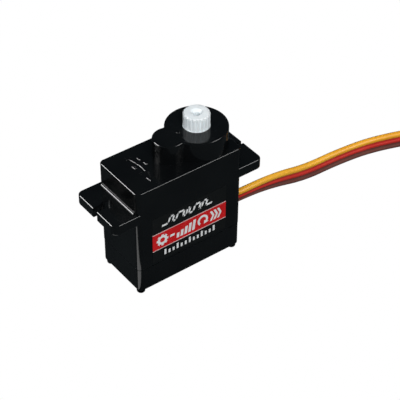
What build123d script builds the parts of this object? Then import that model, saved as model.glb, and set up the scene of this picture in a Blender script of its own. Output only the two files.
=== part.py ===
from build123d import *
import os
from math import acos, cos, degrees, pi, radians, sin, tan

# A 9 g class micro servo. Origin: centre of the case on the surface that the screw heads stand on.
# +X: towards the output shaft and the lead.  +Z: up the output axis.  -Y: the label side.

os.makedirs("parts", exist_ok=True)

# ---------------------------------------------------------------- driving dimensions (mm)
BODY_LENGTH = 23.0
BODY_WIDTH = 12.0
CORNER_RADIUS = 1.0
EDGE_FILLET = 0.25
WALL = 0.8

SCREW_HEAD_HEIGHT = 1.0
BODY_BOTTOM = SCREW_HEAD_HEIGHT
LOWER_SEAM = 6.0
UPPER_SEAM = 19.2
BODY_TOP = 23.9
TOWER_TOP = 28.0
SPLINE_TOP = 30.7

EAR_LENGTH = 4.9
EAR_THICKNESS = 2.2
EAR_HOLE_SPACING = 27.5
EAR_HOLE_RADIUS = 1.1
EAR_SLOT_WIDTHS = {-1: 1.36, 1: 0.8}
EAR_CORNER_RADIUS = 1.2
EAR_EDGE_FILLET = 0.3

AXIS_C = 5.7
AXIS_B = -0.46
AXIS_A = -5.46
TOWER_RADIUS = 5.8
LOBE_RADIUS = 2.95
TOWER_WALL = 0.7
VALLEY_FILLET = 0.45

SCREW_X = 10.45
SCREW_Y = 4.85
SCREW_SHANK_RADIUS = 0.65
SCREW_HEAD_RADIUS = 0.8
SCREW_HEAD_FILLET = 0.4
SCREW_TIP = 21.6
POST_RADIUS = 1.15

# gear train: each stage is a pinion driving a wheel on the next axis
BACKLASH = 0.035
ADDENDUM = 0.88
DEDENDUM = 1.2
PRESSURE_ANGLE = radians(20)
MOTOR_TEETH = 9
FIRST_TEETH = 41
PINION_TEETH = 11
WHEEL_TEETH = 38
OUTPUT_TEETH = 30
FIRST_MODULE = 2 * (AXIS_B - AXIS_A) / (MOTOR_TEETH + FIRST_TEETH)
MIDDLE_MODULE = 2 * (AXIS_C - AXIS_B) / (PINION_TEETH + WHEEL_TEETH)
OUTPUT_MODULE = 2 * (AXIS_C - AXIS_B) / (PINION_TEETH + OUTPUT_TEETH)

FIRST_WHEEL_Z = (19.4, 20.3)
FIRST_PINION_TOP = 21.4
SECOND_WHEEL_Z = (20.5, 21.3)
SECOND_PINION_TOP = 22.5
THIRD_WHEEL_Z = (21.6, 22.4)
THIRD_PINION_TOP = 25.3
OUTPUT_WHEEL_Z = (23.3, 25.2)

PIN_RADIUS = 0.5
POT_SHAFT_RADIUS = 0.7
RUNNING_GAP = 0.03

# output spline
SPLINE_TEETH = 21
SPLINE_RADIUS = 2.46
SPLINE_ROOT_RADIUS = 2.24
JOURNAL_RADIUS = 2.5
JOURNAL_GAP = 0.05
HORN_SCREW_RADIUS = 0.6
HORN_SCREW_DEPTH = 4.2

# motor
CAN_RADIUS = 4.85
CAN_HALF_FLAT = 4.2
CAN_BOTTOM = 9.6
CAN_WALL = 0.35
PLATFORM_BOTTOM = 18.0
MOTOR_SHAFT_RADIUS = 0.4

# feedback potentiometer
POT_RADIUS = 4.2
POT_BOTTOM = 13.4

# circuit board
BOARD_BOTTOM = 4.2
BOARD_TOP = 5.0

# flat lead of three conductors, on its edge from the case to the coil
LEAD_WIDTH = 3.9
LEAD_THICKNESS = 1.3
LEAD_EXIT_Z = 6.65
LEAD_START_X = 10.4
LEAD_LIFT = 0.15
LEAD_SLOT_GAP = 0.05
LEAD_TURN_RADIUS = 18.0
LEAD_TURN_PITCH = 1.5

BLACK = Color(0.05, 0.05, 0.06)
WHITE = Color(0.92, 0.93, 0.94)
STEEL = Color(0.6, 0.62, 0.65)
COPPER = Color(0.75, 0.4, 0.2)
BRASS = Color(0.75, 0.6, 0.3)
GREEN = Color(0.05, 0.3, 0.12)
GREY = Color(0.3, 0.3, 0.32)
ORANGE = Color(0.95, 0.6, 0.1)


def write(name, part, colour):
    """Label one finished piece and write its STEP file."""
    part.label = name
    part.color = colour
    export_step(part, f"parts/{name}.step")


def polar(radius, angle):
    """Point at a radius and an angle in radians."""
    return (radius * cos(angle), radius * sin(angle))


def gear_outline(teeth, module, tooth_angle):
    """Involute gear outline as a face, with one tooth centred on tooth_angle (degrees)."""
    pitch_radius = teeth * module / 2
    base_radius = pitch_radius * cos(PRESSURE_ANGLE)
    tip_radius = pitch_radius + ADDENDUM * module
    root_radius = pitch_radius - DEDENDUM * module
    start_radius = max(base_radius, root_radius) + 1e-4
    pitch_half_angle = (pi * module / 2 - BACKLASH) / (2 * pitch_radius)

    def half_angle(radius):
        pressure = acos(min(1.0, base_radius / radius))
        return pitch_half_angle + tan(PRESSURE_ANGLE) - PRESSURE_ANGLE - (tan(pressure) - pressure)

    radii = [start_radius + (tip_radius - start_radius) * i / 3 for i in range(4)]
    root_half = half_angle(start_radius)
    step = 2 * pi / teeth
    with BuildSketch(mode=Mode.PRIVATE) as outline:
        with BuildLine():
            for k in range(teeth):
                centre = radians(tooth_angle) + k * step
                rising = [polar(r, centre - half_angle(r)) for r in radii]
                falling = [polar(r, centre + half_angle(r)) for r in reversed(radii)]
                root_in = polar(root_radius, centre - root_half)
                root_out = polar(root_radius, centre + root_half)
                root_mid = polar(root_radius, centre + step / 2)
                root_next = polar(root_radius, centre + step - root_half)
                Line(root_in, rising[0])
                Spline(*rising)
                ThreePointArc(rising[-1], polar(tip_radius, centre), falling[0])
                Spline(*falling)
                Line(falling[-1], root_out)
                ThreePointArc(root_out, root_mid, root_next)
        make_face()
    return outline.sketch


def body_outline(inset=0.0):
    """Case outline in plan, moved in by inset."""
    with BuildSketch(mode=Mode.PRIVATE) as outline:
        RectangleRounded(
            BODY_LENGTH - 2 * inset,
            BODY_WIDTH - 2 * inset,
            max(CORNER_RADIUS - inset, 0.3),
        )
    return outline.sketch


def tower_outline(inset=0.0):
    """Round tower over the output axis, joined to the lobe over the idler axis."""
    with BuildSketch(mode=Mode.PRIVATE) as outline:
        with Locations((AXIS_C, 0)):
            Circle(TOWER_RADIUS - inset)
        with Locations((AXIS_B, 0)):
            Circle(LOBE_RADIUS - inset)
    return outline.sketch


SCREW_PLACES = [(x, y) for x in (-SCREW_X, SCREW_X) for y in (-SCREW_Y, SCREW_Y)]

# ---------------------------------------------------------------- case mouldings
SCREW_CLEARANCE = SCREW_SHANK_RADIUS + 0.06
LOWER_INSET = 0.05
LOWER_FLOOR = BODY_BOTTOM + 1.0
LEAD_SLOT_Z = (
    LEAD_EXIT_Z - LEAD_WIDTH / 2 - LEAD_SLOT_GAP,
    LEAD_EXIT_Z + LEAD_WIDTH / 2 + LEAD_SLOT_GAP,
)

with BuildPart() as bottom_case:
    with BuildSketch(Plane.XY.offset(BODY_BOTTOM)):
        add(body_outline(LOWER_INSET))
    extrude(amount=LOWER_SEAM - BODY_BOTTOM)
    fillet(bottom_case.faces().sort_by(Axis.Z)[0].edges(), EDGE_FILLET)
    with BuildSketch(Plane.XY.offset(LOWER_FLOOR)):
        add(body_outline(LOWER_INSET + WALL))
    extrude(amount=LOWER_SEAM, mode=Mode.SUBTRACT)
    # corner posts for the screws
    with BuildSketch(Plane.XY.offset(LOWER_FLOOR)):
        with Locations(*SCREW_PLACES):
            Circle(POST_RADIUS)
        add(body_outline(LOWER_INSET), mode=Mode.INTERSECT)
    extrude(amount=LOWER_SEAM - LOWER_FLOOR)
    # rests that hold the circuit board up
    with BuildSketch(Plane.XY.offset(LOWER_FLOOR)):
        with Locations((-5.0, -4.7), (-5.0, 4.7), (5.0, -4.7), (5.0, 4.7)):
            Rectangle(2.0, 1.0)
    extrude(amount=BOARD_BOTTOM - LOWER_FLOOR)
    with BuildSketch(Plane.XY.offset(BODY_BOTTOM)):
        with Locations(*SCREW_PLACES):
            Circle(SCREW_CLEARANCE)
    extrude(amount=LOWER_SEAM, mode=Mode.SUBTRACT)
    # lower part of the slot that the lead leaves through
    with BuildSketch(Plane.XY.offset(LEAD_SLOT_Z[0])):
        with Locations((BODY_LENGTH / 2, 0)):
            Rectangle(4 * WALL, LEAD_THICKNESS + 2 * LEAD_SLOT_GAP)
    extrude(amount=LOWER_SEAM - LEAD_SLOT_Z[0], mode=Mode.SUBTRACT)
write("bottom_case", bottom_case.part, BLACK)

EAR_BOTTOM = UPPER_SEAM - EAR_THICKNESS
EAR_END = BODY_LENGTH / 2 + EAR_LENGTH
BEAD_RADIUS = 0.3
BEAD_LENGTH = 10.0
LABEL_X = (-8.5, 8.0)
LABEL_Z = (6.6, 16.9)
LABEL_THICKNESS = 0.1
LABEL_RECESS = 0.08

with BuildPart() as middle_case:
    with BuildSketch(Plane.XY.offset(EAR_BOTTOM)):
        RectangleRounded(2 * EAR_END, BODY_WIDTH, EAR_CORNER_RADIUS)
    extrude(amount=EAR_THICKNESS)
    fillet(middle_case.faces().filter_by(Axis.Z).edges(), EAR_EDGE_FILLET)
    with BuildSketch(Plane.XY.offset(LOWER_SEAM)):
        add(body_outline())
    extrude(amount=UPPER_SEAM - LOWER_SEAM)
    fillet(middle_case.faces().sort_by(Axis.Z)[0].edges(), EDGE_FILLET)
    # quarter-round bead on each ear, along the foot of the upper case
    with BuildSketch(Plane.XZ.offset(-BEAD_LENGTH / 2)):
        for side in (-1, 1):
            with Locations((side * BODY_LENGTH / 2, UPPER_SEAM)):
                Circle(BEAD_RADIUS)
        with Locations((0, UPPER_SEAM - BEAD_RADIUS)):
            Rectangle(2 * EAR_END, 2 * BEAD_RADIUS, mode=Mode.SUBTRACT)
        Rectangle(BODY_LENGTH, 4 * UPPER_SEAM, mode=Mode.SUBTRACT)
    extrude(amount=BEAD_LENGTH)
    # room for the motor and the electronics, with a plate left under the gears
    with BuildSketch(Plane.XY.offset(LOWER_SEAM)):
        add(body_outline(WALL))
    extrude(amount=PLATFORM_BOTTOM - LOWER_SEAM, mode=Mode.SUBTRACT)
    with BuildSketch(Plane.XY.offset(LOWER_SEAM)):
        with Locations(*SCREW_PLACES):
            Circle(POST_RADIUS)
        add(body_outline(0.1), mode=Mode.INTERSECT)
    extrude(amount=PLATFORM_BOTTOM - LOWER_SEAM)
    with BuildSketch(Plane.XY.offset(LOWER_SEAM)):
        with Locations(*SCREW_PLACES):
            Circle(SCREW_CLEARANCE)
    extrude(amount=UPPER_SEAM, mode=Mode.SUBTRACT)
    # keyhole slots through the ears, open at the ear ends
    with BuildSketch(Plane.XY.offset(EAR_BOTTOM)):
        with Locations((-EAR_HOLE_SPACING / 2, 0), (EAR_HOLE_SPACING / 2, 0)):
            Circle(EAR_HOLE_RADIUS)
        slot_length = EAR_END - EAR_HOLE_SPACING / 2 + 1.0
        for side, slot_width in EAR_SLOT_WIDTHS.items():
            with Locations((side * (EAR_HOLE_SPACING / 2 + slot_length / 2), 0)):
                Rectangle(slot_length, slot_width)
    extrude(amount=EAR_THICKNESS, mode=Mode.SUBTRACT)
    # holes in the gear plate: motor bush, idler pin and potentiometer shaft
    with BuildSketch(Plane.XY.offset(PLATFORM_BOTTOM)):
        with Locations((AXIS_A, 0)):
            Circle(1.6)
        with Locations((AXIS_B, 0)):
            Circle(PIN_RADIUS)
        with Locations((AXIS_C, 0)):
            Circle(POT_SHAFT_RADIUS + 0.15)
    extrude(amount=UPPER_SEAM - PLATFORM_BOTTOM, mode=Mode.SUBTRACT)
    # upper part of the slot that the lead leaves through
    with BuildSketch(Plane.XY.offset(LOWER_SEAM)):
        with Locations((BODY_LENGTH / 2, 0)):
            Rectangle(4 * WALL, LEAD_THICKNESS + 2 * LEAD_SLOT_GAP)
    extrude(amount=LEAD_SLOT_Z[1] - LOWER_SEAM, mode=Mode.SUBTRACT)
    # shallow panel that the label lies in
    with BuildSketch(Plane.XZ.offset(BODY_WIDTH / 2)):
        with Locations(((LABEL_X[0] + LABEL_X[1]) / 2, (LABEL_Z[0] + LABEL_Z[1]) / 2)):
            Rectangle(LABEL_X[1] - LABEL_X[0], LABEL_Z[1] - LABEL_Z[0])
    extrude(amount=-LABEL_RECESS, mode=Mode.SUBTRACT)
write("middle_case", middle_case.part, BLACK)

CEILING = BODY_TOP - 0.9
TOWER_CEILING = TOWER_TOP - 1.1
LOBE_CEILING = TOWER_TOP - 1.1
MARK_HEIGHT = 0.2
MARK_STROKE = 0.5
MARK_FILLET = 0.15
MARK_CENTRE_X = -14.7
MARK_RADIUS = 8.5
MARK_HALF_ANGLE = 22.0
MARK_HEAD_ANGLE = 7.0
MARK_HEAD_HALF_WIDTH = 0.65
PIP_X = 1.65
PIP_RADIUS = 0.35
PIP_HEIGHT = 0.2
MARK_TICKS = [(7.3, -12.0), (7.3, 5.0), (9.6, 3.0), (9.6, 13.0)]

with BuildPart() as top_case:
    with BuildSketch(Plane.XY.offset(UPPER_SEAM)):
        add(body_outline())
    extrude(amount=BODY_TOP - UPPER_SEAM)
    fillet(top_case.faces().sort_by(Axis.Z)[-1].edges(), EDGE_FILLET)
    with BuildSketch(Plane.XY.offset(UPPER_SEAM)):
        add(tower_outline())
    extrude(amount=TOWER_TOP - UPPER_SEAM)
    upright = top_case.edges().filter_by(Axis.Z)
    valleys = upright.filter_by(lambda e: e.center().Z > BODY_TOP and abs(e.center().Y) > 1.0)
    fillet(valleys, VALLEY_FILLET)
    rim = top_case.faces().filter_by(Axis.Z).sort_by(Axis.Z)[-1].edges()
    fillet(rim, EDGE_FILLET)
    # gear room, its upper part inside the tower and the lobe
    with BuildSketch(Plane.XY.offset(UPPER_SEAM)):
        add(body_outline(WALL))
    extrude(amount=CEILING - UPPER_SEAM, mode=Mode.SUBTRACT)
    with BuildSketch(Plane.XY.offset(UPPER_SEAM)):
        add(tower_outline(TOWER_WALL))
    extrude(amount=TOWER_CEILING - UPPER_SEAM, mode=Mode.SUBTRACT)
    # screw posts and their holes
    with BuildSketch(Plane.XY.offset(UPPER_SEAM)):
        with Locations(*SCREW_PLACES):
            Circle(POST_RADIUS)
        add(body_outline(0.1), mode=Mode.INTERSECT)
    extrude(amount=CEILING - UPPER_SEAM)
    with BuildSketch(Plane.XY.offset(UPPER_SEAM)):
        with Locations(*SCREW_PLACES):
            Circle(SCREW_SHANK_RADIUS + 0.01)
    extrude(amount=SCREW_TIP + 0.3 - UPPER_SEAM, mode=Mode.SUBTRACT)
    # bearing hole for the output shaft and seat for the idler pin
    with BuildSketch(Plane.XY.offset(TOWER_CEILING)):
        with Locations((AXIS_C, 0)):
            Circle(JOURNAL_RADIUS + JOURNAL_GAP)
    extrude(amount=TOWER_TOP - TOWER_CEILING, mode=Mode.SUBTRACT)
    with BuildSketch(Plane.XY.offset(THIRD_PINION_TOP + 0.3)):
        with Locations((AXIS_B, 0)):
            Circle(1.0)
    extrude(amount=LOBE_CEILING - THIRD_PINION_TOP - 0.3)
    with BuildSketch(Plane.XY.offset(THIRD_PINION_TOP)):
        with Locations((AXIS_B, 0)):
            Circle(PIN_RADIUS)
    extrude(amount=LOBE_CEILING + 0.3 - THIRD_PINION_TOP, mode=Mode.SUBTRACT)
    # raised turning mark: an arc with an arrowhead at each end and four ticks beside it
    with BuildSketch(Plane((MARK_CENTRE_X, 0, BODY_TOP))):
        with BuildLine():
            start = -MARK_HALF_ANGLE
            sweep_angle = 2 * MARK_HALF_ANGLE
            band_outer = CenterArc((0, 0), MARK_RADIUS + MARK_STROKE / 2, start, sweep_angle)
            band_inner = CenterArc((0, 0), MARK_RADIUS - MARK_STROKE / 2, start, sweep_angle)
            Line(band_outer @ 0, band_inner @ 0)
            Line(band_outer @ 1, band_inner @ 1)
        make_face()
        for side in (-1, 1):
            root = radians(side * MARK_HALF_ANGLE)
            tip = radians(side * (MARK_HALF_ANGLE + MARK_HEAD_ANGLE))
            with BuildLine():
                Polyline(
                    polar(MARK_RADIUS, tip),
                    polar(MARK_RADIUS - MARK_HEAD_HALF_WIDTH, root),
                    polar(MARK_RADIUS + MARK_HEAD_HALF_WIDTH, root),
                    close=True,
                )
            make_face()
        for radius, angle in MARK_TICKS:
            with PolarLocations(radius, 1, start_angle=angle):
                Rectangle(0.42, 0.9)
    extrude(amount=MARK_HEIGHT)
    mark_top = top_case.faces().filter_by(Axis.Z).filter_by_position(
        Axis.Z, BODY_TOP + MARK_HEIGHT - 0.01, BODY_TOP + MARK_HEIGHT + 0.01
    )
    fillet(mark_top.edges(), MARK_FILLET)
    # moulding pip on the flat between the tower and the lobe
    with BuildSketch(Plane((PIP_X, 0, TOWER_TOP))):
        Circle(PIP_RADIUS)
    extrude(amount=PIP_HEIGHT)
    fillet(top_case.faces().sort_by(Axis.Z)[-1].edges(), 0.15)
write("top_case", top_case.part, BLACK)

with BuildPart() as front_label:
    with BuildSketch(Plane.XZ.offset(BODY_WIDTH / 2 - LABEL_RECESS)):
        with Locations(((LABEL_X[0] + LABEL_X[1]) / 2, (LABEL_Z[0] + LABEL_Z[1]) / 2)):
            Rectangle(LABEL_X[1] - LABEL_X[0] - 0.06, LABEL_Z[1] - LABEL_Z[0] - 0.06)
    extrude(amount=LABEL_THICKNESS)
write("front_label", front_label.part, GREY)

# ---------------------------------------------------------------- case screws, one in each corner
with BuildPart() as case_screws:
    with BuildSketch():
        with Locations(*SCREW_PLACES):
            Circle(SCREW_HEAD_RADIUS)
    extrude(amount=SCREW_HEAD_HEIGHT)
    fillet(case_screws.faces().sort_by(Axis.Z)[:4].edges(), SCREW_HEAD_FILLET)
    with BuildSketch(Plane.XY.offset(SCREW_HEAD_HEIGHT)):
        with Locations(*SCREW_PLACES):
            Circle(SCREW_SHANK_RADIUS)
    extrude(amount=SCREW_TIP - SCREW_HEAD_HEIGHT)
    chamfer(case_screws.faces().sort_by(Axis.Z)[-4:].edges(), 0.35)
    with BuildSketch():
        with Locations(*SCREW_PLACES):
            Rectangle(0.7, 0.2)
            Rectangle(0.2, 0.7)
    extrude(amount=0.5, mode=Mode.SUBTRACT)
write("case_screws", case_screws.part, STEEL)

# ---------------------------------------------------------------- gear train
IDLER_BORE = PIN_RADIUS + RUNNING_GAP
POT_BORE = POT_SHAFT_RADIUS + RUNNING_GAP

with BuildPart() as idler_pin:
    with BuildSketch(Plane.XY.offset(PLATFORM_BOTTOM + 0.2)):
        with Locations((AXIS_B, 0)):
            Circle(PIN_RADIUS)
    extrude(amount=LOBE_CEILING + 0.2 - PLATFORM_BOTTOM - 0.2)
write("idler_pin", idler_pin.part, STEEL)

with BuildPart() as motor_pinion:
    with BuildSketch(Plane((AXIS_A, 0, FIRST_WHEEL_Z[0] - 0.1))):
        add(gear_outline(MOTOR_TEETH, FIRST_MODULE, 0))
        Circle(MOTOR_SHAFT_RADIUS, mode=Mode.SUBTRACT)
    extrude(amount=FIRST_WHEEL_Z[1] - FIRST_WHEEL_Z[0] + 0.2)
write("motor_pinion", motor_pinion.part, BRASS)

with BuildPart() as first_gear:
    with BuildSketch(Plane((AXIS_B, 0, FIRST_WHEEL_Z[0]))):
        add(gear_outline(FIRST_TEETH, FIRST_MODULE, 180 + 180 / FIRST_TEETH))
    extrude(amount=FIRST_WHEEL_Z[1] - FIRST_WHEEL_Z[0])
    with BuildSketch(Plane((AXIS_B, 0, FIRST_WHEEL_Z[1]))):
        add(gear_outline(PINION_TEETH, MIDDLE_MODULE, 0))
    extrude(amount=FIRST_PINION_TOP - FIRST_WHEEL_Z[1])
    # shallow relief in the wheel's web, as moulded gears have
    with BuildSketch(Plane((AXIS_B, 0, FIRST_WHEEL_Z[0]))):
        Circle(3.3)
        Circle(1.3, mode=Mode.SUBTRACT)
    extrude(amount=0.3, mode=Mode.SUBTRACT)
    with BuildSketch(Plane((AXIS_B, 0, FIRST_WHEEL_Z[0]))):
        Circle(IDLER_BORE)
    extrude(amount=FIRST_PINION_TOP, mode=Mode.SUBTRACT)
write("first_gear", first_gear.part, WHITE)

with BuildPart() as second_gear:
    with BuildSketch(Plane((AXIS_C, 0, SECOND_WHEEL_Z[0]))):
        add(gear_outline(WHEEL_TEETH, MIDDLE_MODULE, 180 + 180 / WHEEL_TEETH))
    extrude(amount=SECOND_WHEEL_Z[1] - SECOND_WHEEL_Z[0])
    with BuildSketch(Plane((AXIS_C, 0, SECOND_WHEEL_Z[1]))):
        add(gear_outline(PINION_TEETH, MIDDLE_MODULE, 180))
    extrude(amount=SECOND_PINION_TOP - SECOND_WHEEL_Z[1])
    with BuildSketch(Plane((AXIS_C, 0, SECOND_WHEEL_Z[0]))):
        Circle(3.8)
        Circle(1.4, mode=Mode.SUBTRACT)
    extrude(amount=0.25, mode=Mode.SUBTRACT)
    with BuildSketch(Plane((AXIS_C, 0, SECOND_WHEEL_Z[0]))):
        Circle(POT_BORE)
    extrude(amount=SECOND_PINION_TOP, mode=Mode.SUBTRACT)
write("second_gear", second_gear.part, WHITE)

with BuildPart() as third_gear:
    with BuildSketch(Plane((AXIS_B, 0, THIRD_WHEEL_Z[0]))):
        add(gear_outline(WHEEL_TEETH, MIDDLE_MODULE, 180 / WHEEL_TEETH))
    extrude(amount=THIRD_WHEEL_Z[1] - THIRD_WHEEL_Z[0])
    with BuildSketch(Plane((AXIS_B, 0, THIRD_WHEEL_Z[1]))):
        add(gear_outline(PINION_TEETH, OUTPUT_MODULE, 0))
    extrude(amount=THIRD_PINION_TOP - THIRD_WHEEL_Z[1])
    with BuildSketch(Plane((AXIS_B, 0, THIRD_WHEEL_Z[0]))):
        Circle(3.8)
        Circle(1.4, mode=Mode.SUBTRACT)
    extrude(amount=0.25, mode=Mode.SUBTRACT)
    with BuildSketch(Plane((AXIS_B, 0, THIRD_WHEEL_Z[0]))):
        Circle(IDLER_BORE)
    extrude(amount=THIRD_PINION_TOP, mode=Mode.SUBTRACT)
write("third_gear", third_gear.part, WHITE)

SHOULDER_TOP = TOWER_CEILING - 0.1
FLAT_TOP = OUTPUT_WHEEL_Z[1] + 0.4
POT_FLAT = 0.45

with BuildPart() as output_gear:
    with BuildSketch(Plane((AXIS_C, 0, OUTPUT_WHEEL_Z[0]))):
        add(gear_outline(OUTPUT_TEETH, OUTPUT_MODULE, 180 + 180 / OUTPUT_TEETH))
    extrude(amount=OUTPUT_WHEEL_Z[1] - OUTPUT_WHEEL_Z[0])
    with BuildSketch(Plane((AXIS_C, 0, OUTPUT_WHEEL_Z[1]))):
        Circle(3.2)
    extrude(amount=SHOULDER_TOP - OUTPUT_WHEEL_Z[1])
    with BuildSketch(Plane((AXIS_C, 0, SHOULDER_TOP))):
        Circle(JOURNAL_RADIUS)
    extrude(amount=TOWER_TOP - SHOULDER_TOP)
    # toothed output spline, its teeth with narrow flat lands
    with BuildSketch(Plane((AXIS_C, 0, TOWER_TOP))):
        spline_points = []
        for tooth in range(SPLINE_TEETH):
            for share, radius in (
                (-0.16, SPLINE_RADIUS),
                (0.16, SPLINE_RADIUS),
                (0.42, SPLINE_ROOT_RADIUS),
                (0.58, SPLINE_ROOT_RADIUS),
            ):
                spline_points.append(polar(radius, 2 * pi * (tooth + share) / SPLINE_TEETH))
        with BuildLine():
            Polyline(*spline_points, close=True)
        make_face()
    extrude(amount=SPLINE_TOP - TOWER_TOP)
    # rounded crown on top of the spline
    with BuildSketch(Plane.XZ):
        with BuildLine():
            Polyline(
                (AXIS_C + SPLINE_RADIUS - 0.22, SPLINE_TOP + 0.01),
                (AXIS_C + SPLINE_RADIUS + 0.1, SPLINE_TOP - 0.32),
                (AXIS_C + SPLINE_RADIUS + 0.1, SPLINE_TOP + 0.01),
                close=True,
            )
        make_face()
    revolve(axis=Axis((AXIS_C, 0, 0), (0, 0, 1)), mode=Mode.SUBTRACT)
    # horn screw hole with a wide shallow countersink
    with BuildSketch(Plane((AXIS_C, 0, SPLINE_TOP - HORN_SCREW_DEPTH))):
        Circle(HORN_SCREW_RADIUS)
    extrude(amount=HORN_SCREW_DEPTH, mode=Mode.SUBTRACT)
    with BuildSketch(Plane.XZ):
        with BuildLine():
            Polyline(
                (AXIS_C, SPLINE_TOP),
                (AXIS_C + 1.1, SPLINE_TOP),
                (AXIS_C + HORN_SCREW_RADIUS, SPLINE_TOP - 0.4),
                (AXIS_C, SPLINE_TOP - 0.4),
                close=True,
            )
        make_face()
    revolve(axis=Axis((AXIS_C, 0, 0), (0, 0, 1)), mode=Mode.SUBTRACT)
    # socket for the flatted potentiometer shaft
    with BuildSketch(Plane((AXIS_C, 0, OUTPUT_WHEEL_Z[0]))):
        Circle(POT_SHAFT_RADIUS)
        with Locations((POT_FLAT + 1.0, 0)):
            Rectangle(2.0, 4.0, mode=Mode.SUBTRACT)
    extrude(amount=FLAT_TOP - OUTPUT_WHEEL_Z[0], mode=Mode.SUBTRACT)
write("output_gear", output_gear.part, WHITE)

# ---------------------------------------------------------------- motor
CAN_TOP = PLATFORM_BOTTOM - 0.05


def can_outline(inset=0.0):
    """Round motor can with two flats."""
    with BuildSketch(mode=Mode.PRIVATE) as outline:
        Circle(CAN_RADIUS - inset)
        Rectangle(2 * CAN_RADIUS, 2 * (CAN_HALF_FLAT - inset), mode=Mode.INTERSECT)
    return outline.sketch


with BuildPart() as motor_can:
    with BuildSketch(Plane((AXIS_A, 0, CAN_BOTTOM))):
        add(can_outline())
    extrude(amount=CAN_TOP - CAN_BOTTOM)
    fillet(motor_can.faces().sort_by(Axis.Z)[-1].edges(), 0.3)
    with BuildSketch(Plane((AXIS_A, 0, CAN_BOTTOM))):
        add(can_outline(CAN_WALL))
    extrude(amount=CAN_TOP - CAN_WALL - CAN_BOTTOM, mode=Mode.SUBTRACT)
    with BuildSketch(Plane((AXIS_A, 0, CAN_BOTTOM))):
        Circle(1.4)
    extrude(amount=CAN_TOP, mode=Mode.SUBTRACT)
write("motor_can", motor_can.part, STEEL)

with BuildPart() as motor_bush:
    with BuildSketch(Plane((AXIS_A, 0, CAN_TOP - 0.9))):
        Circle(1.4)
        Circle(MOTOR_SHAFT_RADIUS + RUNNING_GAP, mode=Mode.SUBTRACT)
    extrude(amount=1.9)
write("motor_bush", motor_bush.part, BRASS)

with BuildPart() as motor_magnets:
    with BuildSketch(Plane((AXIS_A, 0, CAN_BOTTOM + 1.2))):
        Circle(CAN_RADIUS - CAN_WALL)
        Circle(3.55, mode=Mode.SUBTRACT)
        Rectangle(2 * CAN_RADIUS, 5.6, mode=Mode.INTERSECT)
    extrude(amount=5.8)
write("motor_magnets", motor_magnets.part, GREY)

with BuildPart() as motor_end_cap:
    with BuildSketch(Plane((AXIS_A, 0, CAN_BOTTOM - 1.2))):
        add(can_outline())
    extrude(amount=1.2)
    with BuildSketch(Plane((AXIS_A, 0, CAN_BOTTOM - 0.5))):
        Circle(3.9)
    extrude(amount=0.5, mode=Mode.SUBTRACT)
    with BuildSketch(Plane((AXIS_A, 0, CAN_BOTTOM - 0.9))):
        Circle(MOTOR_SHAFT_RADIUS + RUNNING_GAP)
    extrude(amount=1.0, mode=Mode.SUBTRACT)
write("motor_end_cap", motor_end_cap.part, BLACK)

with BuildPart() as motor_terminals:
    with BuildSketch(Plane((AXIS_A, 0, CAN_BOTTOM - 2.6))):
        with Locations((0, -3.1), (0, 3.1)):
            Rectangle(1.2, 0.3)
    extrude(amount=1.4)
write("motor_terminals", motor_terminals.part, BRASS)

COMMUTATOR_Z = (CAN_BOTTOM - 0.2, CAN_BOTTOM + 1.0)

with BuildPart() as motor_brushes:
    with BuildSketch(Plane((AXIS_A, 0, COMMUTATOR_Z[0] + 0.3))):
        with Locations((0, -1.75), (0, 1.75)):
            Rectangle(0.9, 0.9)
        with Locations((0, -2.4), (0, 2.4)):
            Rectangle(3.2, 0.2)
        Circle(1.25, mode=Mode.SUBTRACT)
    extrude(amount=0.6)
write("motor_brushes", motor_brushes.part, COPPER)

with BuildPart() as motor_shaft:
    with BuildSketch(Plane((AXIS_A, 0, CAN_BOTTOM - 0.8))):
        Circle(MOTOR_SHAFT_RADIUS)
    extrude(amount=FIRST_WHEEL_Z[1] + 0.1 - CAN_BOTTOM + 0.8)
write("motor_shaft", motor_shaft.part, STEEL)

with BuildPart() as commutator:
    with BuildSketch(Plane((AXIS_A, 0, COMMUTATOR_Z[0]))):
        Circle(1.2)
        with PolarLocations(1.1, 3):
            Rectangle(0.5, 0.15, mode=Mode.SUBTRACT)
        Circle(MOTOR_SHAFT_RADIUS, mode=Mode.SUBTRACT)
    extrude(amount=COMMUTATOR_Z[1] - COMMUTATOR_Z[0])
write("commutator", commutator.part, COPPER)

CORE_Z = (12.0, 16.2)
CORE_RADIUS = 3.3
POLES = 3

with BuildPart() as armature_core:
    with BuildSketch(Plane((AXIS_A, 0, CORE_Z[0]))):
        Circle(CORE_RADIUS)
        Circle(2.75, mode=Mode.SUBTRACT)
        with PolarLocations(3.0, POLES, start_angle=60):
            Rectangle(1.4, 0.7, mode=Mode.SUBTRACT)
        with PolarLocations(1.5, POLES):
            Rectangle(2.8, 0.9)
        Circle(1.1)
        Circle(MOTOR_SHAFT_RADIUS, mode=Mode.SUBTRACT)
    extrude(amount=CORE_Z[1] - CORE_Z[0])
write("armature_core", armature_core.part, STEEL)

with BuildPart() as armature_windings:
    with BuildSketch(Plane((AXIS_A, 0, CORE_Z[0] - 0.5))):
        with PolarLocations(1.9, POLES):
            RectangleRounded(1.2, 2.0, 0.3)
    extrude(amount=CORE_Z[1] - CORE_Z[0] + 1.0)
    with BuildSketch(Plane((AXIS_A, 0, CORE_Z[0]))):
        with PolarLocations(1.5, POLES):
            Rectangle(2.8, 0.9)
    extrude(amount=CORE_Z[1] - CORE_Z[0], mode=Mode.SUBTRACT)
write("armature_windings", armature_windings.part, COPPER)

# ---------------------------------------------------------------- feedback potentiometer
POT_TOP = PLATFORM_BOTTOM - 0.05
TRACK_Z = POT_BOTTOM + 0.4
DISC_Z = (TRACK_Z + 1.2, TRACK_Z + 2.2)

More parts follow.
